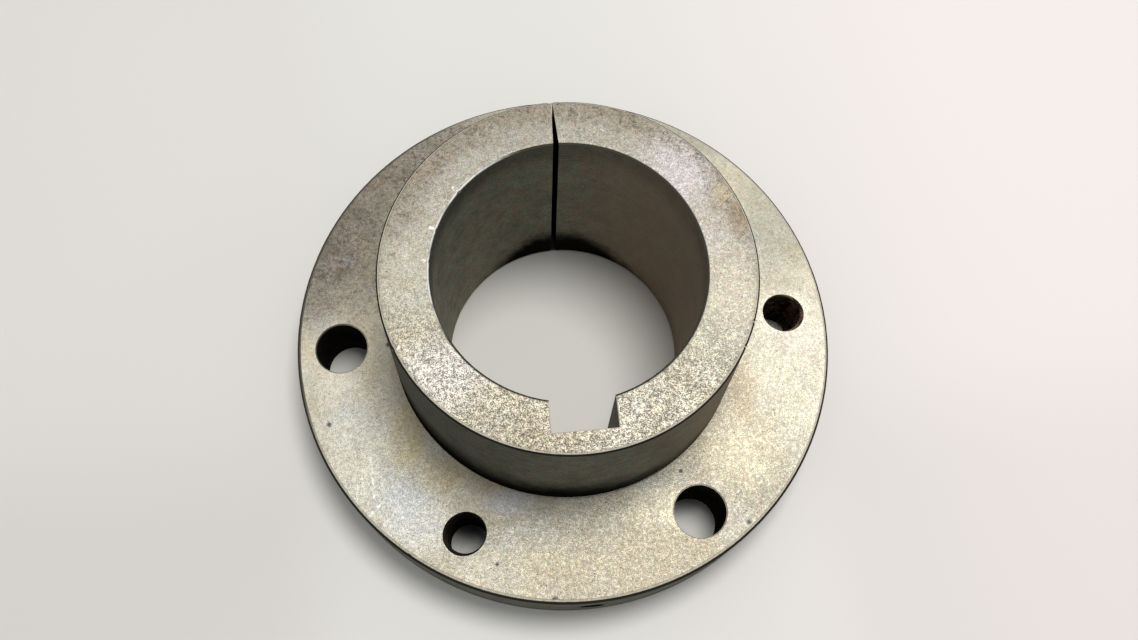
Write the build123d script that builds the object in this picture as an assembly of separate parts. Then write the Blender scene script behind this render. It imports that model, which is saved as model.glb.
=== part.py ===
from build123d import *
import os

# A split taper bushing with a bolting flange, of the kind that clamps the
# hub of a sheave, sprocket or coupling onto a keyed shaft. It is one pressed
# and machined piece of steel. The flange's back lies on Z = 0, the taper
# points up, the split faces +Y and the keyseat faces -Y.

INCH = 25.4

# Flange
FLANGE_DIAMETER = 6.0 * INCH
FLANGE_THICKNESS = 0.8125 * INCH
RIM_CHAMFER = 1.2

# Tapered barrel, which seats in the hub of the wheel
OVERALL_LENGTH = 2.625 * INCH
TAPER_LARGE_DIAMETER = 3.834 * INCH  # where the taper meets the flange's face
TAPER = 0.0625  # on the diameter: three quarters of an inch a foot
NOSE_CHAMFER = 0.8
RELIEF_HEIGHT = 2.5  # groove turned at the foot of the taper
RELIEF_DEPTH = 0.5

# Shaft bore and its keyseat
BORE_DIAMETER = 2.6875 * INCH
BORE_CHAMFER = 0.65
KEY_WIDTH = 0.625 * INCH
KEYSEAT_DEPTH = 0.281 * INCH  # wall of the bore to the keyseat floor
KEYSEAT_FLOOR_RADIUS = 0.3
KEYSEAT_EDGE_BREAK = 0.25

# Split: a wedge that closes to a hairline at the outside of the barrel, where
# an uneven V groove runs down the taper and across the rim
SPLIT_WIDTH_AT_BORE = 1.5
SPLIT_WIDTH_OUTSIDE = 0.3
GROOVE_DEPTH = 0.8
GROOVE_WIDE_SIDE = 1.5
GROOVE_STEEP_SIDE = 0.5

# Clearance holes and tapped jacking holes take turns on one bolt circle
BOLT_CIRCLE = 5.0 * INCH
HOLES_OF_EACH_KIND = 3
CLEARANCE_DIAMETER = 0.5625 * INCH  # for a half inch screw
TAPPED_MINOR_DIAMETER = 0.4219 * INCH  # half inch, 13 threads an inch
HOLE_EDGE_BREAK = 0.3
SPLIT_ANGLE = 90.0

# Set screw hole: radial, through the flange and onto the key
SET_SCREW_MINOR_DIAMETER = 0.257 * INCH  # five sixteenths, 18 threads an inch
SET_SCREW_MOUTH_BREAK = 0.4

# Worked out from the sizes above
flange_radius = FLANGE_DIAMETER / 2
bore_radius = BORE_DIAMETER / 2
taper_large_radius = TAPER_LARGE_DIAMETER / 2
slope = TAPER / 2
nose_radius = taper_large_radius - slope * (OVERALL_LENGTH - FLANGE_THICKNESS)
keyseat_floor = bore_radius + KEYSEAT_DEPTH
hole_step = 360.0 / (2 * HOLES_OF_EACH_KIND)
THROUGH = 1.0  # how far a cutting tool runs past the face it leaves


def taper_radius(height):
    """Radius of the tapered barrel at a height above the flange's back."""
    return taper_large_radius - slope * (height - FLANGE_THICKNESS)


def turned_blank():
    """Flange and barrel, turned about Z, with the edges broken."""
    relief_top = FLANGE_THICKNESS + RELIEF_HEIGHT
    relief_radius = taper_radius(relief_top) - RELIEF_DEPTH
    corners = [
        (bore_radius, 0),
        (flange_radius, 0),
        (flange_radius, FLANGE_THICKNESS),
        (relief_radius, FLANGE_THICKNESS),
        (relief_radius, relief_top - RELIEF_DEPTH),
        (taper_radius(relief_top), relief_top),
        (nose_radius, OVERALL_LENGTH),
        (bore_radius, OVERALL_LENGTH),
    ]
    section = make_face(Polyline(*corners, close=True))

    def at(place):
        return section.vertices().sort_by_distance((*corners[place], 0))[0]

    section = chamfer([at(0), at(7)], BORE_CHAMFER)
    section = chamfer([at(1), at(2)], RIM_CHAMFER)
    section = chamfer(at(6), NOSE_CHAMFER)
    return revolve(Plane.XZ * section, Axis.Z)


def drill(diameter, depth, edge_break):
    """A drill from Z = 0 up to depth, flared to break the edge at each end."""
    radius = diameter / 2
    flared = radius + edge_break + THROUGH
    outline = [
        (0, -THROUGH),
        (flared, -THROUGH),
        (radius, edge_break),
        (radius, depth - edge_break),
        (flared, depth + THROUGH),
        (0, depth + THROUGH),
    ]
    return revolve(Plane.XZ * make_face(Polyline(*outline, close=True)), Axis.Z)


def bolt_holes(diameter, first_angle):
    """One kind of hole, spaced evenly on the bolt circle."""
    tool = drill(diameter, FLANGE_THICKNESS, HOLE_EDGE_BREAK)
    spots = PolarLocations(BOLT_CIRCLE / 2, HOLES_OF_EACH_KIND, first_angle)
    return [spot * tool for spot in spots]


def set_screw_hole():
    """From the keyseat floor out to the rim, halfway up the flange."""
    depth = flange_radius - keyseat_floor
    tool = drill(SET_SCREW_MINOR_DIAMETER, depth, SET_SCREW_MOUTH_BREAK)
    return Pos(0, -keyseat_floor, FLANGE_THICKNESS / 2) * Rot(90, 0, 0) * tool


def keyseat():
    """The broached seat, and a flare that breaks its edge at each mouth."""
    outline = Pos(0, -keyseat_floor / 2) * Rectangle(KEY_WIDTH, keyseat_floor)
    outline = fillet(outline.vertices().group_by(Axis.Y)[0], KEYSEAT_FLOOR_RADIUS)
    flare = KEYSEAT_EDGE_BREAK + THROUGH
    below = extrude(Pos(0, 0, -THROUGH) * offset(outline, flare), flare, taper=45)
    above = mirror(below, Plane.XY.offset(OVERALL_LENGTH / 2))
    return [extrude(outline, OVERALL_LENGTH), below, above]


def split():
    """The wedge through the barrel and the hairline on through the flange."""
    start = bore_radius - BORE_CHAMFER - THROUGH
    end = flange_radius + THROUGH
    at_bore = SPLIT_WIDTH_AT_BORE / 2
    outside = SPLIT_WIDTH_OUTSIDE / 2
    right = [
        (at_bore, start),
        (at_bore, bore_radius),
        (outside, nose_radius),
        (outside, end),
    ]
    left = [(-x, y) for x, y in reversed(right)]
    wedge = make_face(Polyline(*right, *left, close=True))
    return extrude(Pos(0, 0, -THROUGH) * wedge, OVERALL_LENGTH + 2 * THROUGH)


def outer_groove(low_height, high_height, radius_at):
    """The V groove where the split comes out, down a wall of known radius."""

    def notch(height):
        past = (GROOVE_DEPTH + THROUGH) / GROOVE_DEPTH
        outer = radius_at(height) + THROUGH
        points = [
            (0, outer - THROUGH - GROOVE_DEPTH),
            (GROOVE_STEEP_SIDE * past, outer),
            (-GROOVE_WIDE_SIDE * past, outer),
        ]
        return Pos(0, 0, height) * make_face(Polyline(*points, close=True))

    return loft([notch(low_height), notch(high_height)])


def bushing():
    """The blank with every cut taken out of it."""
    face = FLANGE_THICKNESS
    cuts = keyseat() + [split(), set_screw_hole()]
    cuts += bolt_holes(CLEARANCE_DIAMETER, SPLIT_ANGLE - hole_step / 2)
    cuts += bolt_holes(TAPPED_MINOR_DIAMETER, SPLIT_ANGLE + hole_step / 2)
    cuts.append(outer_groove(face, OVERALL_LENGTH + THROUGH, taper_radius))
    cuts.append(outer_groove(-THROUGH, face + THROUGH, lambda height: flange_radius))
    body = turned_blank()
    for cut in cuts:
        body = body - cut
    return body


os.makedirs("parts", exist_ok=True)
part = bushing()
export_step(part, "parts/split_taper_bushing.step")
print("solids", len(part.solids()), "volume", round(part.volume), "cubic mm")
print("size", part.bounding_box().size)
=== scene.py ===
import math

import bmesh
import bpy
from mathutils import Matrix, Vector, noise


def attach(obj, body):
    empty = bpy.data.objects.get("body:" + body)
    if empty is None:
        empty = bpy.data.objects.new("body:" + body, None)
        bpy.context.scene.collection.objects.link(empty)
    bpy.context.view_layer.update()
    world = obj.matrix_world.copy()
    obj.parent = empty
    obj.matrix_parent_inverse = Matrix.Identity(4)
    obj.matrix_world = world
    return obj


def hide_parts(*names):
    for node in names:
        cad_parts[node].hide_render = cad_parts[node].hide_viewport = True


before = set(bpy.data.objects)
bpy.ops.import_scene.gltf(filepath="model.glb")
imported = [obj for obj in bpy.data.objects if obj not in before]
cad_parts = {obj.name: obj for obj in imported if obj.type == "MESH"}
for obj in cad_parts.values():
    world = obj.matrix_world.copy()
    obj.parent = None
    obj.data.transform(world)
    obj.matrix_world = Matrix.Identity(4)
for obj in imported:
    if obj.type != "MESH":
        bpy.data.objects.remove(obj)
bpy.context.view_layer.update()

# A split taper bushing lying on its flange on pale paper, under one soft lamp. It is turned, cut and tapped
# here in the frame's place and sizes, to give it real threads, worn edges, three finishes and painted
# near-black shade in its holes.

MM = 0.001
INCH = 25.4 * MM

# Sizes of the bushing, the same as the frame's
FLANGE_RADIUS = 3.0 * INCH
FLANGE_THICKNESS = 0.8125 * INCH
RIM_EDGE = 1.2 * MM
LENGTH = 2.625 * INCH
TAPER_RADIUS = 1.917 * INCH
TAPER_SLOPE = 0.03125
NOSE_EDGE = 0.8 * MM
RELIEF_HEIGHT = 2.5 * MM
RELIEF_DEPTH = 0.5 * MM
BORE_RADIUS = 1.34375 * INCH
BORE_EDGE = 0.65 * MM
KEY_WIDTH = 0.625 * INCH
KEYSEAT_FLOOR = BORE_RADIUS + 0.281 * INCH
KEYSEAT_EDGE = 0.25 * MM
SPLIT_AT_BORE = 1.5 * MM
SPLIT_OUTSIDE = 0.3 * MM
GROOVE_DEPTH = 0.8 * MM
GROOVE_WIDE_SIDE = 1.5 * MM
GROOVE_STEEP_SIDE = 0.5 * MM
HOLE_CIRCLE = 2.5 * INCH
CLEARANCE_RADIUS = 0.28125 * INCH
CLEARANCE_ANGLES = (60, 180, 300)
TAPPED_ANGLES = (0, 120, 240)
TAP_MINOR = 0.21095 * INCH
TAP_MAJOR = 0.25 * INCH
TAP_PITCH = INCH / 13
HOLE_EDGE = 0.3 * MM
SCREW_MINOR = 0.1285 * INCH
SCREW_MAJOR = 0.15625 * INCH
SCREW_PITCH = INCH / 18
SCREW_EDGE = 0.4 * MM
PAST = 1.0 * MM  # how far a cutting tool runs past the face it leaves

# How finely the shapes are made
AROUND = 600  # steps round the flange and barrel
DRILL_STEPS = 96
TAP_STEPS = 64
HOLD = 1.5 * MM  # distance of the loops that keep a flat face flat beside its edge
SOFT_CORNER = 0.12 * MM
UNEVEN_WEAR = 0.06 * MM
TAP_SHY = 0.05 * MM  # how far a tap's core stays inside the drilled hole
WELD = 0.001 * MM

# Small dents on the edges: angle in degrees, size and depth in millimetres
BORE_DENTS = (
    (138.4, 0.9, 0.2),
    (158.0, 0.8, 0.16),
    (172.3, 0.7, 0.14),
    (-36.0, 0.6, 0.12),
    (21.0, 0.5, 0.1),
)
NOSE_DENTS = (
    (-30.8, 0.8, 0.18),
    (-22.5, 0.9, 0.2),
    (-158.0, 0.7, 0.14),
    (35.0, 0.7, 0.14),
    (103.0, 0.6, 0.12),
)
RIM_DENTS = (
    (-128.3, 1.1, 0.25),
    (-97.2, 0.9, 0.2),
    (-53.1, 0.8, 0.16),
    (-12.0, 0.8, 0.16),
    (47.0, 0.9, 0.18),
    (151.0, 0.9, 0.18),
    (-169.0, 0.8, 0.16),
)


def taper_radius(height):
    """Radius of the tapered barrel at a height above the table."""
    return TAPER_RADIUS - TAPER_SLOPE * (height - FLANGE_THICKNESS)


def new_piece(name, bm):
    """An object in the scene from a finished bmesh, which is used up."""
    mesh = bpy.data.meshes.new(name)
    bm.to_mesh(mesh)
    bm.free()
    piece = bpy.data.objects.new(name, mesh)
    bpy.context.scene.collection.objects.link(piece)
    return piece


def spin_outline(points, steps, closed, rise=0.0):
    """Turns a chain of (radius, height) points about Z, climbing by rise in the whole turn."""
    bm = bmesh.new()
    verts = [bm.verts.new((radius, 0, height)) for radius, height in points]
    pairs = list(zip(verts, verts[1:]))
    if closed:
        pairs.append((verts[-1], verts[0]))
    edges = [bm.edges.new(pair) for pair in pairs]
    bmesh.ops.spin(
        bm,
        geom=verts + edges,
        cent=(0, 0, 0),
        axis=(0, 0, 1),
        dvec=(0, 0, rise / steps),
        angle=2 * math.pi,
        steps=steps,
        use_merge=not rise,
    )
    bmesh.ops.remove_doubles(bm, verts=bm.verts, dist=WELD)
    bmesh.ops.recalc_face_normals(bm, faces=bm.faces)
    return bm


def ring_edges(bm, radius, height):
    """The circle of edges at one radius and height."""
    close = 0.03 * MM

    def on_ring(vert):
        across = math.hypot(vert.co.x, vert.co.y)
        return abs(vert.co.z - height) < close and abs(across - radius) < close

    return [edge for edge in bm.edges if all(on_ring(vert) for vert in edge.verts)]


def bevel_ring(bm, radius, height, width, segments):
    """Bevels the circle of edges at one radius and height."""
    bmesh.ops.bevel(
        bm,
        geom=ring_edges(bm, radius, height),
        offset=width,
        offset_type="OFFSET",
        segments=segments,
        profile=0.5,
        affect="EDGES",
        material=-1,
        clamp_overlap=False,
    )


def break_edge(bm, radius, height, width, metal, soft):
    """Chamfers a round edge and softens both new corners.

    metal is +1 where the metal lies outside the radius, and -1 where it lies inside.
    """
    level = height - math.copysign(width, height - HOLD)
    bevel_ring(bm, radius, height, width, 1)
    bevel_ring(bm, radius + metal * width, height, soft, 2)
    bevel_ring(bm, radius, level, soft, 2)


def dent_edge(bm, radius, height, metal, dents):
    """Knocks small dents into a round edge."""
    inwards = 0.4 * MM
    down = 0.3 * MM
    for angle, size, depth in dents:
        turn = math.radians(angle)
        ray = Vector((math.cos(turn), math.sin(turn), 0))
        middle = ray * (radius + metal * inwards) + Vector((0, 0, height - down))
        push = (ray * metal - Vector((0, 0, 1))).normalized() * depth * MM
        for vert in bm.verts:
            away = (vert.co - middle).length / (size * MM)
            if away < 1:
                vert.co += push * (1 - away * away)


def roughen_edge(bm, radius, height, metal, reach, amount):
    """Wears an edge unevenly, always into the metal, as pressing and handling leave it."""
    broad = 1.7 * MM
    fine = 0.6 * MM
    for vert in bm.verts:
        across = math.hypot(vert.co.x, vert.co.y)
        if math.hypot(across - radius, vert.co.z - height) < reach:
            uneven = abs(noise.noise(vert.co / broad)) + 0.5 * abs(noise.noise(vert.co / fine))
            grow = 1 + metal * amount * uneven / across
            vert.co.x *= grow
            vert.co.y *= grow


def blank():
    """The turned flange and barrel with their edges rounded."""
    relief_top = FLANGE_THICKNESS + RELIEF_HEIGHT
    relief_radius = taper_radius(relief_top) - RELIEF_DEPTH
    nose_radius = taper_radius(LENGTH)
    outline = [
        (BORE_RADIUS, 0),
        (BORE_RADIUS + HOLD, 0),
        (FLANGE_RADIUS - HOLD, 0),
        (FLANGE_RADIUS, 0),
        (FLANGE_RADIUS, HOLD),
        (FLANGE_RADIUS, FLANGE_THICKNESS - HOLD),
        (FLANGE_RADIUS, FLANGE_THICKNESS),
        (FLANGE_RADIUS - 2 * HOLD, FLANGE_THICKNESS),
        (relief_radius, FLANGE_THICKNESS),
        (relief_radius, relief_top - RELIEF_DEPTH),
        (taper_radius(relief_top), relief_top),
        (taper_radius(LENGTH - HOLD), LENGTH - HOLD),
        (nose_radius, LENGTH),
        (nose_radius - HOLD, LENGTH),
        (BORE_RADIUS + HOLD, LENGTH),
        (BORE_RADIUS, LENGTH),
        (BORE_RADIUS, LENGTH - HOLD),
        (BORE_RADIUS, HOLD),
    ]
    bm = spin_outline(outline, AROUND, closed=True)
    edges = (
        (BORE_RADIUS, 0, BORE_EDGE, 1),
        (BORE_RADIUS, LENGTH, BORE_EDGE, 1),
        (FLANGE_RADIUS, 0, RIM_EDGE, -1),
        (FLANGE_RADIUS, FLANGE_THICKNESS, RIM_EDGE, -1),
        (nose_radius, LENGTH, NOSE_EDGE, -1),
    )
    for radius, height, width, metal in edges:
        break_edge(bm, radius, height, width, metal, SOFT_CORNER)
        roughen_edge(bm, radius, height, metal, 1.25 * width, UNEVEN_WEAR)
    bevel_ring(bm, taper_radius(relief_top), relief_top, 0.2 * MM, 2)
    dent_edge(bm, BORE_RADIUS, LENGTH, 1, BORE_DENTS)
    dent_edge(bm, nose_radius, LENGTH, -1, NOSE_DENTS)
    dent_edge(bm, FLANGE_RADIUS, FLANGE_THICKNESS, -1, RIM_DENTS)
    bmesh.ops.recalc_face_normals(bm, faces=bm.faces)
    return bm


def prism(points, levels):
    """A closed prism on a few points, grown outwards from its middle at each (height, growth) level."""
    bm = bmesh.new()
    face = bm.faces.new([bm.verts.new((x, y, levels[0][0])) for x, y in points])
    middle = face.calc_center_median()
    for height, _ in levels[1:]:
        made = bmesh.ops.extrude_face_region(bm, geom=[face])
        if height != levels[1][0]:
            bmesh.ops.delete(bm, geom=[face], context="FACES_ONLY")
        face = next(item for item in made["geom"] if isinstance(item, bmesh.types.BMFace))
        bmesh.ops.translate(bm, verts=face.verts, vec=(0, 0, height - face.calc_center_median().z))
    for height, growth in levels:
        if growth:
            for vert in bm.verts:
                if abs(vert.co.z - height) < WELD:
                    vert.co.x += math.copysign(growth, vert.co.x - middle.x)
                    vert.co.y += math.copysign(growth, vert.co.y - middle.y)
    bmesh.ops.recalc_face_normals(bm, faces=bm.faces)
    return bm


def drill(radius, low, high, edge):
    """A drill that runs past both faces and breaks their edges."""
    wide = radius + edge + PAST
    outline = [
        (0, low - PAST),
        (wide, low - PAST),
        (radius, low + edge),
        (radius, high - edge),
        (wide, high + PAST),
        (0, high + PAST),
    ]
    return spin_outline(outline, DRILL_STEPS, closed=False)


def tap(minor, major, pitch, low, high):
    """A tap: the ridge of a sixty degree thread winding up a core, cut level at both ends."""
    crest = 0.25 * pitch
    flank = 0.3125 * pitch
    root = 0.125 * pitch
    chain = []
    height = low - 3 * pitch
    while height < high + 2 * pitch:
        chain.append((minor, height))
        chain.append((minor, height + crest))
        chain.append((major, height + crest + flank))
        chain.append((major, height + crest + flank + root))
        height += pitch
    bm = spin_outline(chain, TAP_STEPS, closed=False, rise=pitch)
    for level, side in ((low - PAST, 1), (high + PAST, -1)):
        whole = list(bm.verts) + list(bm.edges) + list(bm.faces)
        cut = bmesh.ops.bisect_plane(
            bm,
            geom=whole,
            dist=0.1 * WELD,
            plane_co=(0, 0, level),
            plane_no=(0, 0, side),
            clear_inner=True,
        )
        rim = [item for item in cut["geom_cut"] if isinstance(item, bmesh.types.BMEdge)]
        bmesh.ops.holes_fill(bm, edges=rim)
    bmesh.ops.recalc_face_normals(bm, faces=bm.faces)
    return bm


def cut_from(piece, bm):
    """Takes a closed shape away from the piece."""
    tool = new_piece("tool", bm)
    change = piece.modifiers.new("cut", "BOOLEAN")
    change.operation = "DIFFERENCE"
    change.solver = "EXACT"
    change.object = tool
    bpy.context.view_layer.update()
    ready = piece.evaluated_get(bpy.context.evaluated_depsgraph_get())
    before = piece.data
    piece.data = bpy.data.meshes.new_from_object(ready)
    piece.modifiers.clear()
    bpy.data.meshes.remove(before)
    bpy.data.meshes.remove(tool.data)


def placed(bm, matrix):
    """The same bmesh, moved by a matrix."""
    bmesh.ops.transform(bm, matrix=matrix, verts=bm.verts)
    return bm


def on_circle(angle):
    """The place of a hole on the hole circle, at an angle in degrees."""
    turn = Matrix.Rotation(math.radians(angle), 4, "Z")
    return turn @ Matrix.Translation((HOLE_CIRCLE, 0, 0))


def cut_keyseat(piece):
    """The keyseat, flared a little where it leaves each end."""
    half = KEY_WIDTH / 2
    points = [(-half, -KEYSEAT_FLOOR), (half, -KEYSEAT_FLOOR), (half, 0), (-half, 0)]
    wide = KEYSEAT_EDGE + PAST
    levels = [(-PAST, wide), (KEYSEAT_EDGE, 0), (LENGTH - KEYSEAT_EDGE, 0), (LENGTH + PAST, wide)]
    cut_from(piece, prism(points, levels))


def cut_split(piece):
    """The wedge through the barrel's wall, and the narrow slit on through the flange."""
    start = BORE_RADIUS - 2 * PAST
    end = FLANGE_RADIUS + PAST
    right = [
        (SPLIT_AT_BORE / 2, start),
        (SPLIT_AT_BORE / 2, BORE_RADIUS),
        (SPLIT_OUTSIDE / 2, taper_radius(LENGTH)),
        (SPLIT_OUTSIDE / 2, end),
    ]
    left = [(-x, y) for x, y in reversed(right)]
    cut_from(piece, prism(right + left, [(-PAST, 0), (LENGTH + PAST, 0)]))


def cut_groove(piece, low, high, radius_at):
    """The uneven V groove where the split comes out of a wall of known radius."""
    past = (GROOVE_DEPTH + PAST) / GROOVE_DEPTH
    outer = radius_at(low) + PAST
    points = [
        (0, outer - PAST - GROOVE_DEPTH),
        (GROOVE_STEEP_SIDE * past, outer),
        (-GROOVE_WIDE_SIDE * past, outer),
    ]
    bm = prism(points, [(low, 0), (high, 0)])
    lean = radius_at(high) - radius_at(low)
    upper = [vert for vert in bm.verts if vert.co.z > (low + high) / 2]
    bmesh.ops.translate(bm, verts=upper, vec=(0, lean, 0))
    cut_from(piece, bm)


def cut_holes(piece):
    """The plain and tapped holes of the flange, and the tapped set screw hole in its rim."""
    through = (0, FLANGE_THICKNESS)
    for angle in CLEARANCE_ANGLES:
        cut_from(piece, placed(drill(CLEARANCE_RADIUS, *through, HOLE_EDGE), on_circle(angle)))
    for angle in TAPPED_ANGLES:
        cut_from(piece, placed(drill(TAP_MINOR, *through, HOLE_EDGE), on_circle(angle)))
        cut_from(piece, placed(tap(TAP_MINOR - TAP_SHY, TAP_MAJOR, TAP_PITCH, *through), on_circle(angle)))
    halfway = Matrix.Translation((0, 0, FLANGE_THICKNESS / 2))
    outwards = halfway @ Matrix.Rotation(math.radians(90), 4, "X")
    reach = (KEYSEAT_FLOOR, FLANGE_RADIUS)
    cut_from(piece, placed(drill(SCREW_MINOR, *reach, SCREW_EDGE), outwards))
    cut_from(piece, placed(tap(SCREW_MINOR - TAP_SHY, SCREW_MAJOR, SCREW_PITCH, *reach), outwards))


bushing = new_piece("bushing", blank())
cut_keyseat(bushing)
cut_groove(bushing, FLANGE_THICKNESS, LENGTH + PAST, taper_radius)
cut_groove(bushing, -PAST, FLANGE_THICKNESS + PAST, lambda height: FLANGE_RADIUS)
cut_split(bushing)
cut_holes(bushing)

# The bushing's finishes, in the order of its material slots; SHADED is painted near-black shade in the
# holes, threads and split
PRESSED, TURNED, BORED, SHADED = range(4)
SLACK = 0.1 * MM
UPRIGHT = 0.9  # a face whose normal lies nearly along a direction
FLAT = 0.75  # a face that looks mostly up or down
SHARP_ANGLE = 35


def in_a_hole(middle, level):
    """Whether a face is the wall of a plain or tapped hole in the flange."""
    if level > UPRIGHT:
        return False
    for angles, size in ((CLEARANCE_ANGLES, CLEARANCE_RADIUS), (TAPPED_ANGLES, TAP_MAJOR)):
        for angle in angles:
            axis = on_circle(angle).translation
            if math.hypot(middle.x - axis.x, middle.y - axis.y) < size + SLACK:
                return True
    return False


def finish_of(face):
    """Which finish a face of the bushing has, from where it lies and which way it looks."""
    middle = face.calc_center_median()
    across = math.hypot(middle.x, middle.y)
    level = abs(face.normal.z)
    if in_a_hole(middle, level):
        return SHADED
    from_screw = math.hypot(middle.x, middle.z - FLANGE_THICKNESS / 2)
    inside_rim = -FLANGE_RADIUS + 3 * SLACK < middle.y < -KEYSEAT_FLOOR - SLACK
    if from_screw < SCREW_MAJOR + SLACK and inside_rim:
        return SHADED
    past_bore = abs(middle.x) < SPLIT_AT_BORE / 2 and middle.y > BORE_RADIUS
    if past_bore and abs(face.normal.x) > UPRIGHT:
        return SHADED
    if level > FLAT:
        return PRESSED
    in_key = abs(middle.x) < KEY_WIDTH / 2 + SLACK and -KEYSEAT_FLOOR - SLACK < middle.y < 0
    if across < BORE_RADIUS + BORE_EDGE or in_key:
        return BORED
    return TURNED


def finish_mesh(piece):
    """Welds and closes the cut shape, gives each face its finish, and keeps its corners sharp."""
    bm = bmesh.new()
    bm.from_mesh(piece.data)
    bmesh.ops.remove_doubles(bm, verts=bm.verts, dist=2 * WELD)
    bmesh.ops.dissolve_degenerate(bm, edges=bm.edges, dist=WELD)
    bmesh.ops.holes_fill(bm, edges=[edge for edge in bm.edges if edge.is_boundary])
    bmesh.ops.recalc_face_normals(bm, faces=bm.faces)
    for face in bm.faces:
        face.material_index = finish_of(face)
    bm.to_mesh(piece.data)
    bm.free()
    piece.data.shade_smooth()
    piece.data.set_sharp_from_angle(angle=math.radians(SHARP_ANGLE))


finish_mesh(bushing)
weighted = bushing.modifiers.new("weighted", "WEIGHTED_NORMAL")
weighted.keep_sharp = True
weighted.weight = 100


class Recipe:
    """A node tree, with a short way to add a node and feed its sockets."""

    def __init__(self, tree):
        self.tree = tree

    def fill(self, node, inputs):
        """Links each socket that is given, and sets each plain value."""
        for key, value in inputs.items():
            if isinstance(value, bpy.types.NodeSocket):
                self.tree.links.new(value, node.inputs[key])
            else:
                node.inputs[key].default_value = value
        return node

    def add(self, kind, inputs, **settings):
        node = self.tree.nodes.new("ShaderNode" + kind)
        for name, value in settings.items():
            setattr(node, name, value)
        return self.fill(node, inputs)

    def math(self, operation, *values):
        return self.add("Math", dict(enumerate(values)), operation=operation).outputs[0]

    def vector(self, operation, *values):
        node = self.add("VectorMath", dict(enumerate(values)), operation=operation)
        return node.outputs["Value" if operation in ("LENGTH", "DOT_PRODUCT") else "Vector"]

    def scaled(self, vector, factor):
        return self.add("VectorMath", {0: vector, "Scale": factor}, operation="SCALE").outputs["Vector"]

    def blend(self, factor, first, second, kind="MIX"):
        """Mixes two colours. 6, 7 and the third output are the Mix node's colour sockets."""
        inputs = {0: factor, 6: first, 7: second}
        return self.add("Mix", inputs, data_type="RGBA", blend_type=kind).outputs[2]

    def along(self, position, axis):
        """One coordinate of a position."""
        return self.add("SeparateXYZ", {0: position}).outputs[axis]

    def ramp(self, value, low, high, start=0.0, end=1.0):
        """Goes smoothly from start to end while the value goes from low to high."""
        inputs = {0: value, 1: low, 2: high, 3: start, 4: end}
        return self.add("MapRange", inputs, interpolation_type="SMOOTHSTEP").outputs[0]

    def noise(self, position, scale, detail=2.0, roughness=0.5):
        inputs = {"Vector": position, "Scale": scale, "Detail": detail, "Roughness": roughness}
        return self.add("TexNoise", inputs).outputs["Fac"]

    def use(self, group, inputs):
        """Places a shader group and returns what it puts out."""
        return self.add("Group", inputs, node_tree=group).outputs


def new_group(name, inputs, outputs):
    """An empty shader group with named sockets: (its tree, its recipe, what comes in, what goes out)."""
    tree = bpy.data.node_groups.new(name, "ShaderNodeTree")
    for label, kind in inputs:
        tree.interface.new_socket(label, in_out="INPUT", socket_type="NodeSocket" + kind)
    for label, kind in outputs:
        tree.interface.new_socket(label, in_out="OUTPUT", socket_type="NodeSocket" + kind)
    entry = tree.nodes.new("NodeGroupInput").outputs
    leave = tree.nodes.new("NodeGroupOutput").inputs

    def put(label, socket):
        tree.links.new(socket, leave[label])

    return tree, Recipe(tree), entry, put


def grain_group():
    """Sandy grain of pressed metal powder: speckle, pits and their height."""
    tree, mix, given, put = new_group(
        "metal_grain",
        [("Position", "Vector"), ("Grain Size", "Float")],
        [("Speckle", "Float"), ("Pits", "Float"), ("Height", "Float"), ("Tint", "Color")],
    )
    spot = mix.scaled(given["Position"], mix.math("DIVIDE", 1.0, given["Grain Size"]))
    fine = mix.noise(spot, 1.0, 2.0, 0.6)
    clump = mix.noise(spot, 0.33, 2.0, 0.5)
    both = mix.math("ADD", mix.math("MULTIPLY", fine, 0.68), mix.math("MULTIPLY", clump, 0.32))
    speckle = mix.ramp(both, 0.36, 0.64)
    cells = mix.add("TexVoronoi", {"Vector": spot, "Scale": 0.42}).outputs
    chosen = mix.ramp(mix.add("SeparateColor", {0: cells["Color"]}).outputs[0], 0.86, 0.9)
    pit = mix.ramp(cells["Distance"], 0.34, 0.16)
    pits = mix.math("MULTIPLY", chosen, pit)
    put("Tint", mix.add("TexNoise", {"Vector": spot, "Scale": 0.7, "Detail": 1.0}).outputs["Color"])
    put("Speckle", speckle)
    put("Pits", pits)
    put("Height", mix.math("SUBTRACT", speckle, mix.math("MULTIPLY", pits, 1.5)))
    return tree


def mottle_group():
    """Broad cloudy changes of shade."""
    tree, mix, given, put = new_group(
        "cloudy_mottle",
        [("Position", "Vector"), ("Patch Size", "Float")],
        [("Shade", "Float"), ("Warm", "Float"), ("Cool", "Float")],
    )
    spot = mix.scaled(given["Position"], mix.math("DIVIDE", 1.0, given["Patch Size"]))
    put("Shade", mix.ramp(mix.noise(spot, 1.0, 5.0, 0.62), 0.3, 0.7))
    shifted = mix.vector("ADD", spot, (7.3, 2.1, 5.9))
    put("Warm", mix.ramp(mix.noise(shifted, 0.8, 4.0, 0.6), 0.45, 0.7))
    turned = mix.vector("ADD", spot, (-4.4, 9.2, 1.7))
    put("Cool", mix.ramp(mix.noise(turned, 0.7, 4.0, 0.6), 0.48, 0.72))
    return tree


def stain_group():
    """A soft ragged patch round a centre."""
    tree, mix, given, put = new_group(
        "ragged_stain",
        [("Position", "Vector"), ("Centre", "Vector"), ("Spread", "Vector"), ("Ragged", "Float")],
        [("Mask", "Float")],
    )
    offset = mix.vector("SUBTRACT", given["Position"], given["Centre"])
    offset = mix.vector("DIVIDE", offset, given["Spread"])
    uneven = mix.math("SUBTRACT", mix.noise(given["Position"], 170.0, 5.0, 0.65), 0.5)
    reach = mix.math("ADD", mix.vector("LENGTH", offset), mix.math("MULTIPLY", uneven, given["Ragged"]))
    put("Mask", mix.ramp(reach, 1.0, 0.25))
    return tree


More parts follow.
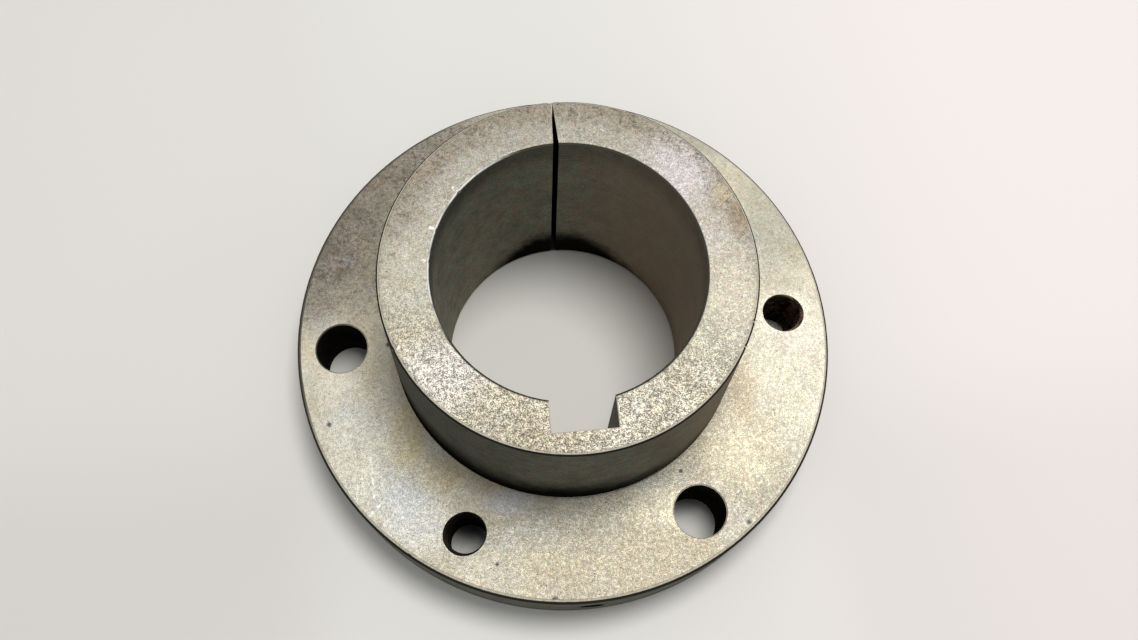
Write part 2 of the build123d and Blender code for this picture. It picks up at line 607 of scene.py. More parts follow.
def scratch_and_glint_group():
    """A fine broken line from one point to another, drawn for scratches and for painted glints."""
    tree, mix, given, put = new_group(
        "fine_scratch_and_glint",
        [("Position", "Vector"), ("Start", "Vector"), ("End", "Vector"), ("Width", "Float")],
        [("Mask", "Float")],
    )
    run = mix.vector("SUBTRACT", given["End"], given["Start"])
    here = mix.vector("SUBTRACT", given["Position"], given["Start"])
    share = mix.math("DIVIDE", mix.vector("DOT_PRODUCT", here, run), mix.vector("DOT_PRODUCT", run, run))
    inside = mix.add("Clamp", {0: share}).outputs[0]
    gap = mix.vector("LENGTH", mix.vector("SUBTRACT", here, mix.scaled(run, inside)))
    uneven = mix.math("SUBTRACT", mix.noise(given["Position"], 700.0, 2.0), 0.5)
    wander = mix.math("MULTIPLY", uneven, 0.9 * MM)
    line = mix.ramp(mix.math("ABSOLUTE", mix.math("ADD", gap, wander)), given["Width"], 0.0)
    broken = mix.ramp(mix.noise(given["Position"], 1300.0, 2.0), 0.4, 0.55)
    put("Mask", mix.math("MULTIPLY", line, broken))
    return tree


def lathe_group():
    """Fine even lines that a cutting tool leaves round a turned wall."""
    tree, mix, given, put = new_group(
        "lathe_lines",
        [("Position", "Vector"), ("Line Spacing", "Float")],
        [("Lines", "Float")],
    )
    sway = mix.math("MULTIPLY", mix.noise(given["Position"], 40.0, 2.0), 0.6 * MM)
    height = mix.math("ADD", mix.along(given["Position"], "Z"), sway)
    turns = mix.math("DIVIDE", height, given["Line Spacing"])
    lines = mix.add("TexNoise", {"W": turns, "Scale": 1.0, "Detail": 3.0}, noise_dimensions="1D")
    put("Lines", mix.ramp(lines.outputs["Fac"], 0.3, 0.7))
    return tree


GRAIN = grain_group()
MOTTLE = mottle_group()
STAIN = stain_group()
SCRATCH_AND_GLINT_LINE = scratch_and_glint_group()
LATHE = lathe_group()


def new_material(name):
    """A material, its recipe, its shader and where each point lies on the object."""
    material = bpy.data.materials.new(name)
    material.use_nodes = True
    recipe = Recipe(material.node_tree)
    shader = material.node_tree.nodes["Principled BSDF"]
    position = recipe.add("TexCoord", {}).outputs["Object"]
    return material, recipe, shader, position


def feed(material, shader, sockets):
    """Links sockets to the shader's inputs by name."""
    for label, socket in sockets.items():
        material.node_tree.links.new(socket, shader.inputs[label])


def paint(mix, colour, mask, strength, tint):
    """Lays a tint over a colour where the mask is."""
    return mix.blend(mix.math("MULTIPLY", mask, strength), colour, (*tint, 1))


# Linear colours of the pressed faces, what lies on them, and the light and shade painted on them
SANDY_DARK = (0.42, 0.39, 0.31)
SANDY_PALE = (0.6, 0.565, 0.455)
WARM_CAST = (0.5, 0.4, 0.27)
COOL_CAST = (0.5, 0.53, 0.57)
END_BACK_SHADE = (0.395, 0.37, 0.322)
END_OUTER_DARK = (0.25, 0.205, 0.145)
BROWN_CLOUD = (0.36, 0.27, 0.165)
GREY_CLOUD = (0.4, 0.385, 0.42)
PALE_CLOUD = (0.75, 0.72, 0.64)
DIRT_FLECK = (0.06, 0.04, 0.03)
SHADE_BREAK_TINT = (0.27, 0.26, 0.2)
DARK_SPOT = (0.04, 0.033, 0.027)
BROWN_HOLLOW = (0.2, 0.14, 0.085)
DARK_PIT = (0.09, 0.07, 0.055)
SCRATCH_AND_GLINT_TINT = (0.92, 0.91, 0.88)

# Machined walls: their usual, dark and brown steel
TURNED_STEEL = ((0.118, 0.124, 0.096), (0.06, 0.063, 0.049), (0.125, 0.112, 0.076))
BORED_STEEL = ((0.245, 0.255, 0.195), (0.115, 0.12, 0.093), (0.26, 0.215, 0.15))
TURNED_BROWN = (0.15, 0.115, 0.07)
TURNED_LEFT_SHADE = (0.03, 0.031, 0.025)
EDGE_SHADE = (0.014, 0.014, 0.011)
EDGE_HIGHLIGHT = (0.8, 0.74, 0.6)
RIM_EDGE_SHADE = (0.05, 0.043, 0.032)
FOOT_DIRT_AND_SHADE = (0.002, 0.002, 0.0015)
BORE_BROWN = (0.3, 0.215, 0.155)
BORE_OIL_AND_SHADE = (0.003, 0.003, 0.0025)
BORE_SHADE = (0.03, 0.029, 0.021)
LIP_DARK = (0.06, 0.059, 0.047)
LIP_LIT = (1.0, 0.99, 0.95)

# Walls of the holes, threads and split, painted near-black for the shade in them
HOLE_SHADE_DARK = (0.006, 0.006, 0.005)
HOLE_SHADE_PALE = (0.022, 0.019, 0.016)
HOLE_SHADE_WARM = (0.04, 0.026, 0.018)
HOLE_SHADE_SPECKLE = (0.032, 0.028, 0.022)
HOLE_RUST = (0.22, 0.145, 0.1)

WALL_GRAIN = 0.3 * MM

# Heights of the two flat faces that carry marks. Places on them are millimetres across and along.
TOP = LENGTH
FACE = FLANGE_THICKNESS

# Patches seen on the flat faces, some of them painted light and shade: centre, spread, ragged edge,
# strength and tint
# Painted shade over the flange's upper left
SHADE_PATCHES = (
    ((-74, 34, FACE), (50, 38, 4), 0.5, 0.97, (0.1, 0.08, 0.057)),
    ((-44, 62, FACE), (46, 32, 4), 0.5, 0.9, (0.135, 0.11, 0.082)),
)
FACE_PATCHES = (
    # Painted highlight: the flange's right side brighter where it catches the light
    ((72, -18, FACE), (40, 46, 4), 0.5, 0.75, (0.8, 0.76, 0.63)),
    ((-65, -11, FACE), (9, 8, 4), 0.7, 0.5, (0.66, 0.63, 0.56)),
    ((-56, -38, FACE), (32, 36, 4), 0.5, 0.55, (0.59, 0.59, 0.53)),
    ((10, -68, FACE), (50, 20, 4), 0.5, 0.82, (0.485, 0.43, 0.32)),
    ((22, -53, FACE), (16, 8, 4), 0.6, 0.7, (0.78, 0.71, 0.54)),
    ((38, 62, FACE), (30, 22, 4), 0.4, 0.85, (0.34, 0.33, 0.275)),
    ((-46, -27, FACE), (7, 17, 4), 0.9, 0.6, (0.54, 0.425, 0.215)),
    ((-38, -39, FACE), (11, 7, 4), 0.9, 0.5, (0.56, 0.45, 0.25)),
    ((-49, -43, FACE), (11, 10, 4), 0.8, 0.5, (0.44, 0.49, 0.56)),
    ((-44, -51, FACE), (13, 10, 4), 0.7, 0.5, (0.59, 0.6, 0.63)),
    ((-20, -48, FACE), (10, 5, 4), 0.8, 0.5, (0.62, 0.66, 0.78)),
    ((46, -38, FACE), (15, 16, 4), 0.5, 0.65, (0.76, 0.68, 0.51)),
    ((48, -23, FACE), (7, 13, 4), 1.0, 0.5, (0.45, 0.335, 0.18)),
    ((64, 8, FACE), (9, 6, 4), 0.9, 0.4, (0.34, 0.28, 0.18)),
    ((64, -1, FACE), (13, 12, 4), 0.4, 0.5, (0.84, 0.81, 0.72)),
    ((66, 27, FACE), (14, 24, 4), 0.4, 0.6, (0.36, 0.36, 0.3)),
    # Painted shadow of the barrel on the flange, along its front foot
    ((4, -51, FACE), (26, 4, 4), 0.7, 0.35, (0.36, 0.33, 0.27)),
    ((43.5, 10, TOP), (3.5, 8, 4), 1.3, 0.8, (0.3, 0.22, 0.14)),
    ((41, 17, TOP), (4, 5, 4), 1.2, 0.6, (0.56, 0.47, 0.3)),
    ((30, 24, TOP), (14, 17, 4), 0.6, 0.8, (0.66, 0.61, 0.64)),
    ((37, 4, TOP), (6, 14, 4), 0.8, 0.5, (0.6, 0.54, 0.52)),
    ((-33, -25, TOP), (15, 13, 4), 0.6, 0.75, (0.68, 0.66, 0.635)),
    ((-12, -44, TOP), (24, 9, 4), 0.5, 0.7, (0.42, 0.37, 0.28)),
    ((12, -38, TOP), (11, 10, 4), 0.5, 0.4, (0.72, 0.67, 0.54)),
    ((40, -12, TOP), (9, 20, 4), 0.6, 0.75, (0.67, 0.61, 0.5)),
    ((-40, 2, TOP), (9, 14, 4), 0.6, 0.5, (0.62, 0.59, 0.48)),
)

# Bright scratches, and painted glints on three dents of the bore's edge: start, end, width and strength
SCRATCHES_AND_GLINTS = (
    ((-56.4, -32.3, FACE), (-55.7, -43.2, FACE), 0.7, 0.75),
    ((-57.0, -48.0, FACE), (-53.2, -44.6, FACE), 0.7, 0.75),
    ((-60.2, -44.0, FACE), (-60.0, -39.5, FACE), 0.3, 0.4),
    ((-54.4, -38.0, FACE), (-52.8, -41.8, FACE), 0.25, 0.4),
    ((-58.8, -36.5, FACE), (-58.2, -43.0, FACE), 0.25, 0.35),
    ((-53.4, -51.2, FACE), (-50.0, -47.4, FACE), 0.5, 0.6),
    ((38.0, -62.0, FACE), (44.5, -55.0, FACE), 0.2, 0.4),
    ((68.0, -12.0, FACE), (70.0, -3.0, FACE), 0.2, 0.4),
    ((11.5, 38.2, TOP), (13.4, 36.6, TOP), 0.16, 0.5),
    ((-41.9, -16.8, TOP), (-42.9, -18.4, TOP), 0.4, 0.9),
    ((38.0, -17.2, TOP), (43.4, -13.8, TOP), 0.2, 0.35),
    # Painted glints on three dents of the bore's edge
    ((-26.1, 23.1, TOP), (-26.9, 23.9, TOP), 0.6, 0.9),
    ((-32.4, 13.1, TOP), (-33.4, 13.5, TOP), 0.6, 0.9),
    ((-34.6, 4.7, TOP), (-35.5, 4.8, TOP), 0.5, 0.8),
)

# Dark spots in the flange's face: place and size
SPOTS = (
    ((-50.4, 0.0), 1.1),
    ((27.9, -43.6), 0.8),
    ((44.4, -59.1), 1.0),
    ((-67.4, -22.0), 1.0),
    ((-9.5, -74.4), 1.2),
    ((-32.9, -58.3), 0.8),
    ((57.0, 26.0), 0.8),
    ((-24.0, -64.0), 0.7),
)


def in_metres(place):
    """A place in millimetres whose height is already in metres."""
    return (place[0] * MM, place[1] * MM, place[2])


def lay_patch(mix, position, colour, patch):
    """Paints one ragged patch: (the new colour, the patch's mask)."""
    centre, spread, ragged, strength, tint = patch
    reach = tuple(value * MM for value in spread)
    sizes = {"Position": position, "Centre": in_metres(centre), "Spread": reach, "Ragged": ragged}
    mask = mix.use(STAIN, sizes)["Mask"]
    return paint(mix, colour, mask, strength, tint), mask


def lay_scratches_and_glints(mix, position, colour):
    """Draws the bright scratches, and the painted glints on dents of the bore's edge."""
    for first, last, width, strength in SCRATCHES_AND_GLINTS:
        ends = {"Start": in_metres(first), "End": in_metres(last), "Width": width * MM}
        mask = mix.use(SCRATCH_AND_GLINT_LINE, {"Position": position, **ends})["Mask"]
        colour = paint(mix, colour, mask, strength, SCRATCH_AND_GLINT_TINT)
    return colour


def end_face_zones(mix, position, place):
    """Where the barrel's end face is: all of it, the half towards the split, which gets painted shade, and
    that half's outer edge, painted darker and browner still.
    """
    on_top = mix.ramp(place["Z"], 40 * MM, 60 * MM)
    towards_split = mix.math("MULTIPLY", on_top, mix.ramp(place["Y"], -14 * MM, 30 * MM))
    flat = mix.vector("MULTIPLY", position, (1.0, 1.0, 0.0))
    ragged = mix.math("SUBTRACT", mix.noise(position, 210.0, 5.0, 0.68), 0.5)
    across = mix.math("ADD", mix.vector("LENGTH", flat), mix.math("MULTIPLY", ragged, 12 * MM))
    outer = mix.ramp(across, 38 * MM, 45 * MM)
    return on_top, towards_split, mix.math("MULTIPLY", towards_split, outer)


def soil_face(mix, position, colour, shade_area, outer_back):
    """Small clouds of brown and grey, dirt flecks that crowd into the painted shade, and lighter specks
    that break the painted shade up in places.
    """
    cloud = mix.use(MOTTLE, {"Position": position, "Patch Size": 4.5 * MM})
    colour = paint(mix, colour, cloud["Warm"], 0.24, BROWN_CLOUD)
    colour = paint(mix, colour, cloud["Cool"], 0.22, GREY_CLOUD)
    colour = paint(mix, colour, cloud["Shade"], 0.1, PALE_CLOUD)
    fleck = mix.ramp(mix.noise(position, 680.0, 5.0, 0.8), 0.48, 0.66)
    dirty = mix.math("ADD", mix.math("MULTIPLY", shade_area, 0.85), mix.math("MULTIPLY", outer_back, 0.65))
    soiled = mix.math("MULTIPLY", fleck, mix.math("ADD", 0.15, dirty))
    colour = paint(mix, colour, soiled, 1.0, DIRT_FLECK)
    # Lighter specks that break up the painted shade
    shade_breaks = mix.ramp(mix.noise(position, 480.0, 4.0, 0.7), 0.54, 0.66)
    return paint(mix, colour, mix.math("MULTIPLY", shade_breaks, shade_area), 0.32, SHADE_BREAK_TINT)


def sandy_grain(mix, colour, grain, contrast, near_key, on_top):
    """Grains of pressed powder: light and dark ones, brown hollows near the keyseat, and pits."""
    hollows = mix.math("MULTIPLY", mix.ramp(grain["Speckle"], 0.6, 0.1), near_key)
    colour = paint(mix, colour, hollows, 0.46, BROWN_HOLLOW)
    light = mix.math("MULTIPLY", mix.math("SUBTRACT", grain["Speckle"], 0.5), contrast)
    grains = mix.math("ADD", 1.0, mix.math("MULTIPLY", light, 1.3))
    lift = mix.math("MULTIPLY", grains, mix.math("SUBTRACT", 1.0, mix.math("MULTIPLY", on_top, 0.17)))
    warm = mix.math("MULTIPLY", lift, 0.965)
    shade = mix.add("CombineColor", {0: lift, 1: lift, 2: warm}).outputs[0]
    colour = mix.blend(1.0, colour, shade, "MULTIPLY")
    colour = mix.blend(0.4, colour, grain["Tint"], "SOFT_LIGHT")
    return paint(mix, colour, grain["Pits"], 0.6, DARK_PIT)


def pressed_material():
    """The pale sandy flat faces of the pressed blank, with painted shade at the back of the end face, on
    the flange's upper left and at the barrel's front foot, and painted highlights on the flange's right
    side and on dents of the bore's edge.
    """
    material, mix, shader, position = new_material("pressed_face")
    place = mix.add("SeparateXYZ", {0: position}).outputs
    grain = mix.use(GRAIN, {"Position": position, "Grain Size": 0.3 * MM})
    mottle = mix.use(MOTTLE, {"Position": position, "Patch Size": 14 * MM})
    colour = mix.blend(mottle["Shade"], (*SANDY_DARK, 1), (*SANDY_PALE, 1))
    colour = paint(mix, colour, mottle["Warm"], 0.35, WARM_CAST)
    colour = paint(mix, colour, mottle["Cool"], 0.35, COOL_CAST)
    on_top, towards_split, outer_back = end_face_zones(mix, position, place)
    # Painted shade: the end face darker towards the split, at the back
    colour = paint(mix, colour, towards_split, 0.85, END_BACK_SHADE)
    # Darker and browner at the outer edge of the end face's back half
    colour = paint(mix, colour, outer_back, 0.75, END_OUTER_DARK)

    # Painted shade over the flange's upper left, and the area it covers
    shade_area = None
    for patch in SHADE_PATCHES:
        colour, mask = lay_patch(mix, position, colour, patch)
        shade_area = mask if shade_area is None else mix.math("MAXIMUM", shade_area, mask)
    for patch in FACE_PATCHES:
        colour, _ = lay_patch(mix, position, colour, patch)
    colour = soil_face(mix, position, colour, shade_area, outer_back)
    for (x, y), size in SPOTS:
        spot = ((x, y, FACE), (size, size, size), 0.7, 0.9, DARK_SPOT)
        colour, _ = lay_patch(mix, position, colour, spot)

    leaning = mix.math("ADD", place["Y"], mix.math("MULTIPLY", place["X"], 0.22))
    near_key = mix.math("MULTIPLY", on_top, mix.ramp(leaning, -2 * MM, -34 * MM))
    contrast = mix.ramp(place["Y"], 30 * MM, -62 * MM, 0.14, 0.36)
    for zone, more in ((near_key, 0.5), (shade_area, 0.4), (towards_split, 0.24)):
        contrast = mix.math("ADD", contrast, mix.math("MULTIPLY", zone, more))
    colour = sandy_grain(mix, colour, grain, contrast, near_key, on_top)
    colour = lay_scratches_and_glints(mix, position, colour)
    rough = mix.ramp(grain["Speckle"], 0.0, 1.0, 0.64, 0.46)
    relief = {"Height": grain["Height"], "Strength": 0.5, "Distance": 0.06 * MM}
    bump = mix.add("Bump", relief).outputs[0]
    shader.inputs["Metallic"].default_value = 0.35
    feed(material, shader, {"Base Color": colour, "Roughness": rough, "Normal": bump})
    return material


def machined_colour(mix, position, steel, spacing):
    """Colour of a machined wall, with its tool lines and grain: (colour, lines, grain)."""
    base, dark, brown = steel
    lathe = mix.use(LATHE, {"Position": position, "Line Spacing": spacing})
    mottle = mix.use(MOTTLE, {"Position": position, "Patch Size": 7 * MM})
    grain = mix.use(GRAIN, {"Position": position, "Grain Size": WALL_GRAIN})
    colour = mix.blend(mottle["Shade"], (*dark, 1), (*base, 1))
    colour = paint(mix, colour, mottle["Warm"], 0.6, brown)
    colour = paint(mix, colour, lathe["Lines"], 0.5, tuple(value * 1.9 for value in base))
    colour = paint(mix, colour, grain["Speckle"], 0.5, tuple(value * 0.3 for value in base))
    blot = mix.use(MOTTLE, {"Position": position, "Patch Size": 2.4 * MM})
    red, green, blue = base
    colour = paint(mix, colour, blot["Warm"], 0.5, (red * 1.15, green * 0.6, blue * 0.6))
    colour = paint(mix, colour, blot["Cool"], 0.4, tuple(value * 0.35 for value in base))
    colour = mix.blend(0.8, colour, grain["Tint"], "SOFT_LIGHT")
    return colour, lathe, grain


def finish_wall(material, mix, shader, colour, lathe, grain, soil_and_shade):
    """Sheen and tool marks of a machined wall, dull where dirt and painted shade cover it."""
    sheen = mix.ramp(lathe["Lines"], 0.0, 1.0, 0.6, 0.42)
    rough = mix.math("ADD", sheen, mix.math("MULTIPLY", soil_and_shade, 0.3))
    metallic = mix.math("MULTIPLY", mix.math("SUBTRACT", 1.0, soil_and_shade), 0.3)
    height = mix.math("ADD", lathe["Lines"], mix.math("MULTIPLY", grain["Height"], 0.35))
    relief = {"Height": height, "Strength": 0.4, "Distance": 0.03 * MM}
    bump = mix.add("Bump", relief).outputs[0]
    shader.inputs["Specular IOR Level"].default_value = 0.0
    feed(material, shader, {"Base Color": colour, "Metallic": metallic, "Roughness": rough, "Normal": bump})
    return material


def edge_shade_and_highlight(mix, place, colour, grain, level, width):
    """A broken edge under a face in painted light: a painted dark line of shade, with a painted highlight
    along its top. (colour, where the edge is).
    """
    start = mix.ramp(place["Z"], level - 1.2 * width, level - width)
    end = mix.ramp(place["Z"], level, level + 0.02 * MM, 1.0, 0.0)
    edge = mix.math("MULTIPLY", start, end)
    # Painted shade: a dark line on the broken edge
    colour = paint(mix, colour, edge, 0.9, EDGE_SHADE)
    # Painted highlight along the top of the edge
    upper = mix.ramp(place["Z"], level - 0.55 * width, level - 0.4 * width)
    uneven = mix.ramp(grain["Speckle"], 0.0, 1.0, 0.6, 0.95)
    highlight = mix.math("MULTIPLY", mix.math("MULTIPLY", edge, upper), uneven)
    return paint(mix, colour, highlight, 1.0, EDGE_HIGHLIGHT), edge


def turned_material():
    """The turned taper, rim and broken edges: dark, with painted shade on the barrel's left and along the
    edges, painted highlights along the edges, and black round the taper's foot from dirt and painted shade.
    """
    material, mix, shader, position = new_material("turned_wall")
    place = mix.add("SeparateXYZ", {0: position}).outputs
    colour, lathe, grain = machined_colour(mix, position, TURNED_STEEL, 0.35 * MM)
    above = mix.ramp(place["Z"], FLANGE_THICKNESS - 0.2 * MM, FLANGE_THICKNESS)
    brown = mix.math("MULTIPLY", above, mix.ramp(place["X"], 8 * MM, 40 * MM))
    colour = paint(mix, colour, brown, 0.7, TURNED_BROWN)
    # Painted shade: the barrel darker on its left side
    left_shade = mix.math("MULTIPLY", above, mix.ramp(place["X"], -4 * MM, -40 * MM))
    colour = paint(mix, colour, left_shade, 0.55, TURNED_LEFT_SHADE)
    # Black round the taper's foot, higher on the left: dirt, with painted shade
    ragged = mix.math("SUBTRACT", mix.noise(position, 90.0, 4.0, 0.6), 0.5)
    height = mix.math("ADD", place["Z"], mix.math("MULTIPLY", ragged, 12 * MM))
    height = mix.math("SUBTRACT", height, mix.ramp(place["X"], 42 * MM, -10 * MM, -10 * MM, 0.0))
    black = mix.ramp(height, FLANGE_THICKNESS + 24 * MM, FLANGE_THICKNESS + 5 * MM)
    dirt_and_shade = mix.math("MULTIPLY", black, above)
    colour, _ = edge_shade_and_highlight(mix, place, colour, grain, LENGTH, NOSE_EDGE)
    colour, rim_edge = edge_shade_and_highlight(mix, place, colour, grain, FLANGE_THICKNESS, RIM_EDGE)
    # Painted shade on the rim's edge at the flange's upper left
    towards_shade = mix.vector("DOT_PRODUCT", position, (-0.9, 0.44, 0.0))
    shaded_rim = mix.math("MULTIPLY", rim_edge, mix.ramp(towards_shade, 46 * MM, 64 * MM))
    colour = paint(mix, colour, shaded_rim, 0.85, RIM_EDGE_SHADE)
    colour = paint(mix, colour, dirt_and_shade, 0.97, FOOT_DIRT_AND_SHADE)
    return finish_wall(material, mix, shader, colour, lathe, grain, dirt_and_shade)


def light_lip(mix, position, place, colour):
    """The bore's chamfer: a dark lip, and a painted highlight, a bright broken line, on its left side."""
    lip = mix.ramp(place["Z"], LENGTH - 0.8 * MM, LENGTH - 0.6 * MM)
    colour = paint(mix, colour, lip, 0.9, LIP_DARK)
    # Painted highlight along the chamfer's left side
    lit = mix.math("MULTIPLY", lip, mix.ramp(place["X"], -8 * MM, -20 * MM))
    lit = mix.math("MULTIPLY", lit, mix.ramp(place["Y"], -18 * MM, -6 * MM))
    lit = mix.math("MULTIPLY", lit, mix.ramp(place["Z"], LENGTH - 0.55 * MM, LENGTH - 0.3 * MM))
    broken = mix.ramp(mix.noise(position, 170.0, 4.0, 0.65), 0.34, 0.54, 0.4, 1.0)
    return paint(mix, colour, mix.math("MULTIPLY", lit, broken), 0.97, LIP_LIT)


def bored_material():
    """The bore and keyseat: brown to one side, with painted shade under the lip, and black low down beside
    the split from oil and painted shade at the wall's foot.
    """
    material, mix, shader, position = new_material("bored_wall")
    place = mix.add("SeparateXYZ", {0: position}).outputs
    colour, lathe, grain = machined_colour(mix, position, BORED_STEEL, 0.3 * MM)
    brown_side = mix.ramp(place["X"], -2 * MM, 26 * MM)
    colour = paint(mix, colour, brown_side, 0.6, BORE_BROWN)
    # Black low down beside the split: oil, with painted shade at the wall's foot
    left_slope = mix.ramp(place["X"], -27 * MM, -3 * MM)
    right_slope = mix.ramp(place["X"], 33 * MM, 5 * MM)
    hill = mix.math("MULTIPLY", mix.math("MULTIPLY", left_slope, right_slope), 16 * MM)
    ragged = mix.math("SUBTRACT", mix.noise(position, 240.0, 5.0, 0.7), 0.5)
    ragged = mix.math("MULTIPLY", ragged, 8 * MM)
    top_of_oil_and_shade = mix.math("ADD", ragged, mix.math("SUBTRACT", hill, 2 * MM))
    oil_and_shade = mix.ramp(mix.math("SUBTRACT", place["Z"], top_of_oil_and_shade), 4 * MM, -6 * MM)
    oil_and_shade = mix.math("MULTIPLY", oil_and_shade, mix.ramp(place["Y"], 2 * MM, 16 * MM))
    colour = paint(mix, colour, oil_and_shade, 0.97, BORE_OIL_AND_SHADE)
    left_side = mix.ramp(place["X"], 6 * MM, -22 * MM)
    under_lip = mix.ramp(place["Z"], LENGTH - 12 * MM, LENGTH - 2 * MM)
    shaded = mix.math("MULTIPLY", under_lip, mix.math("ADD", 0.35, mix.math("MULTIPLY", left_side, 0.3)))
    colour = paint(mix, colour, shaded, 1.0, BORE_SHADE)
    colour = light_lip(mix, position, place, colour)
    return finish_wall(material, mix, shader, colour, lathe, grain, oil_and_shade)


def shaded_material():
    """The walls of the holes, threads and split, painted near-black for the shade in them, rusty in the
    tapped hole on +X.
    """
    material, mix, shader, position = new_material("hole_wall")
    grain = mix.use(GRAIN, {"Position": position, "Grain Size": 0.35 * MM})
    mottle = mix.use(MOTTLE, {"Position": position, "Patch Size": 4 * MM})
    # Painted near-black shade, with warmer and speckled tone in it
    colour = mix.blend(mottle["Shade"], (*HOLE_SHADE_DARK, 1), (*HOLE_SHADE_PALE, 1))
    colour = paint(mix, colour, mottle["Warm"], 0.5, HOLE_SHADE_WARM)
    colour = paint(mix, colour, grain["Speckle"], 0.25, HOLE_SHADE_SPECKLE)
    in_last_hole = mix.ramp(mix.along(position, "X"), HOLE_CIRCLE - 5 * MM, HOLE_CIRCLE)
    rusty = mix.ramp(mix.noise(position, 330.0, 3.0, 0.6), 0.4, 0.6)
    colour = paint(mix, colour, mix.math("MULTIPLY", in_last_hole, rusty), 0.65, HOLE_RUST)
    rough = mix.ramp(grain["Speckle"], 0.0, 1.0, 0.55, 0.35)
    relief = {"Height": grain["Height"], "Strength": 0.3, "Distance": 0.03 * MM}
    bump = mix.add("Bump", relief).outputs[0]
    shader.inputs["Metallic"].default_value = 0.0
    shader.inputs["Specular IOR Level"].default_value = 0.0
    feed(material, shader, {"Base Color": colour, "Roughness": rough, "Normal": bump})
    return material


for finish in (pressed_material(), turned_material(), bored_material(), shaded_material()):
    bushing.data.materials.append(finish)

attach(bushing, "root")
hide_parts("split_taper_bushing")

# The floor is a table of pale paper, just under the bushing so that the two faces don't share a plane
TABLE_DROP = 0.02 * MM
TABLE_HALF = 3.0
PAPER_DULL = (0.76, 0.735, 0.7)
PAPER_PALE = (0.78, 0.752, 0.72)
PAPER_LIT_MIDDLE = (0.79, 0.785, 0.748)
PAPER_LIT_RIGHT = (0.9, 0.84, 0.825)
CORNER_SHADE = (0.93, 0.93, 0.93)
HOLE_SHADOW = (0.03, 0.029, 0.026)
SLIT_SHADOW = (0.01, 0.01, 0.009)

# Painted shadow on the table under two of the holes: centre, spread, ragged edge, strength and tint
TABLE_HOLE_SHADOWS = (
    ((-32, -49.0, 0), (9, 8.5, 4), 0.3, 0.95, HOLE_SHADOW),
    ((30, -47.0, 0), (9, 7, 4), 0.3, 0.6, HOLE_SHADOW),
)


def shadow_under_slit(mix, across, along):
    """Where the table lies under the open slit of the flange, which gets painted shadow."""
    under = mix.ramp(mix.math("ABSOLUTE", across), 1.4 * MM, 0.9 * MM)
    under = mix.math("MULTIPLY", under, mix.ramp(along, 34.3 * MM, 34.7 * MM))
    return mix.math("MULTIPLY", under, mix.ramp(along, 75.8 * MM, 75.4 * MM))


def table_material():
    """Pale paper, greyer on the left and pinker on the right, with painted light that brightens it towards
    the right and painted shade in two near corners.
    """
    material, mix, shader, position = new_material("table_top")
    across = mix.along(position, "X")
    along = mix.along(position, "Y")
    cloud = mix.ramp(mix.noise(position, 6.0, 2.0), 0.3, 0.7)
    colour = mix.blend(cloud, (*PAPER_DULL, 1), (*PAPER_PALE, 1))
    # Painted light: the paper brighter and pinker towards the right
    colour = paint(mix, colour, mix.ramp(across, -110 * MM, -40 * MM), 1.0, PAPER_LIT_MIDDLE)
    colour = paint(mix, colour, mix.ramp(across, -30 * MM, 170 * MM), 1.0, PAPER_LIT_RIGHT)
    aside = mix.ramp(mix.math("ABSOLUTE", across), 60 * MM, 90 * MM)
    near = mix.ramp(along, 0.0, -50 * MM)
    colour = mix.blend(mix.math("MULTIPLY", aside, near), colour, (*CORNER_SHADE, 1), "MULTIPLY")
    # Painted shadows under two of the holes
    for patch in TABLE_HOLE_SHADOWS:
        colour, _ = lay_patch(mix, position, colour, patch)
    # Painted shadow on the table under the flange's open slit
    colour = paint(mix, colour, shadow_under_slit(mix, across, along), 0.95, SLIT_SHADOW)
    shader.inputs["Roughness"].default_value = 0.75
    feed(material, shader, {"Base Color": colour})
    return material


floor_mesh = bmesh.new()
bmesh.ops.create_grid(floor_mesh, x_segments=1, y_segments=1, size=TABLE_HALF)
bmesh.ops.translate(floor_mesh, verts=floor_mesh.verts, vec=(0, 0, -TABLE_DROP))
floor = new_piece("table", floor_mesh)
floor.data.materials.append(table_material())

# Ceiling lamp: place, what it shines at, size, power and colour
LAMP_PLACE = Vector((0.17, 0.155, 1.1))
LAMP_TARGET = Vector((0, 0, 0.03))
LAMP_SIZE = 0.44
LAMP_POWER = 8.05
LAMP_COLOUR = (1.0, 0.985, 0.96)

# The room lights the object plainly, and looks paler where it is seen or reflected
ROOM_COLOUR = (0.98, 0.99, 1.0, 1)
ROOM_STRENGTH = 0.39
ROOM_SEEN = 0.48


def hang_lamp():
    """A round soft lamp over the table."""
    lamp = bpy.data.lights.new("ceiling", "AREA")
    lamp.shape = "DISK"
    lamp.size = LAMP_SIZE
    lamp.energy = LAMP_POWER
    lamp.color = LAMP_COLOUR
    light = bpy.data.objects.new("ceiling", lamp)
    light.location = LAMP_PLACE
    light.rotation_euler = (LAMP_TARGET - LAMP_PLACE).to_track_quat("-Z", "Y").to_euler()
    bpy.context.scene.collection.objects.link(light)


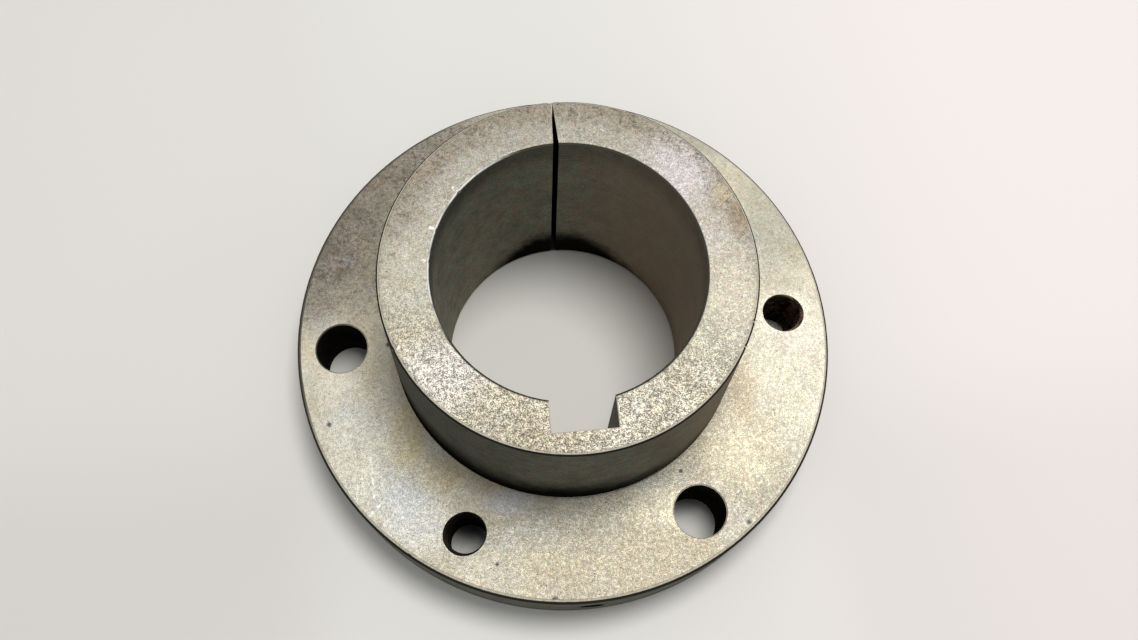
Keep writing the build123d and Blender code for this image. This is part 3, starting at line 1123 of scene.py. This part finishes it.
def light_room():
    """A plain even room round the table."""
    world = bpy.data.worlds.new("room")
    world.use_nodes = True
    room = Recipe(world.node_tree)
    ray = room.add("LightPath", {}).outputs
    mirrored = room.math("MAXIMUM", ray["Is Glossy Ray"], ray["Is Transmission Ray"])
    seen = room.math("MAXIMUM", ray["Is Camera Ray"], mirrored)
    strength = room.math("ADD", ROOM_STRENGTH, room.math("MULTIPLY", seen, ROOM_SEEN))
    background = world.node_tree.nodes["Background"]
    background.inputs["Color"].default_value = ROOM_COLOUR
    world.node_tree.links.new(strength, background.inputs["Strength"])
    bpy.context.scene.world = world


# Camera: looks down on the barrel's end, from the keyseat's side
AZIMUTH = math.radians(-9.540)
ELEVATION = math.radians(69.604)
ROLL = math.radians(4.305)
DISTANCE = 12.596 * INCH
AIM = Vector((0.1112 * INCH, 0.4158 * INCH, 0))
FOCAL_LENGTH = 1033.43  # in pixels of a photo this wide
PHOTO_WIDTH = 1138
SENSOR_WIDTH = 36


def aim_camera():
    """The camera at the photo's viewing angle."""
    back = Vector(
        (
            math.sin(AZIMUTH) * math.cos(ELEVATION),
            -math.cos(AZIMUTH) * math.cos(ELEVATION),
            math.sin(ELEVATION),
        )
    )
    right = (-back).cross(Vector((0, 0, 1))).normalized()
    up = right.cross(-back)
    rolled_right = right * math.cos(ROLL) + up * math.sin(ROLL)
    rolled_up = -right * math.sin(ROLL) + up * math.cos(ROLL)
    lens = bpy.data.cameras.new("camera")
    lens.sensor_width = SENSOR_WIDTH
    lens.sensor_fit = "HORIZONTAL"
    lens.lens = FOCAL_LENGTH * SENSOR_WIDTH / PHOTO_WIDTH
    lens.clip_start = 0.01
    camera = bpy.data.objects.new("camera", lens)
    axes = Matrix((rolled_right, rolled_up, back)).transposed().to_4x4()
    camera.matrix_world = Matrix.Translation(AIM + back * DISTANCE) @ axes
    bpy.context.scene.collection.objects.link(camera)
    bpy.context.scene.camera = camera


hang_lamp()
light_room()
aim_camera()
bpy.context.scene.view_settings.view_transform = "Standard"
